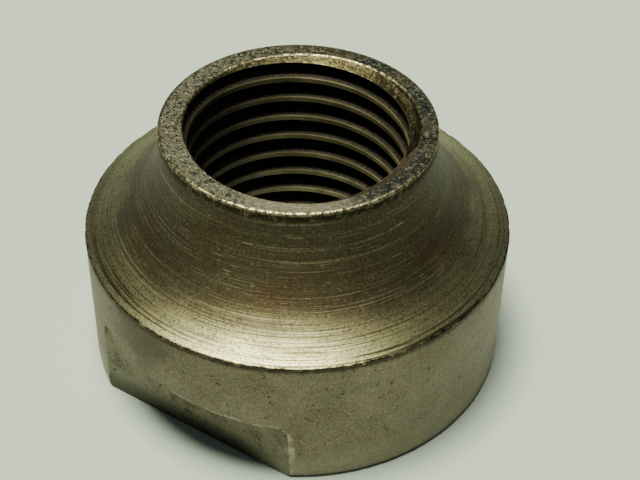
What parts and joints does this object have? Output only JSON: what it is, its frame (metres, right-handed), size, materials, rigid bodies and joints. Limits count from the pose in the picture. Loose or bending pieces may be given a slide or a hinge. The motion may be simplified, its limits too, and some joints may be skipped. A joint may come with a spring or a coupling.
{
  "type": "hub bearing cone",
  "caption": "Threaded bearing cone for a cup-and-cone wheel hub: turned steel ring with a concave ball race, a tapped bore and two wrench flats.",
  "frame": {"origin": "centre of the back face, on the axle's axis", "axes": "+Z along the axle from the back face to the nose; the two wrench flats face -Y and +Y"},
  "size_m": [0.0176, 0.0176, 0.0111],
  "materials": {
    "worn_steel": "turned and hardened steel, worn, with brown oil stain"
  },
  "bodies": {
    "root": {"bearing_cone": "worn_steel"}
  },
  "joints": []
}
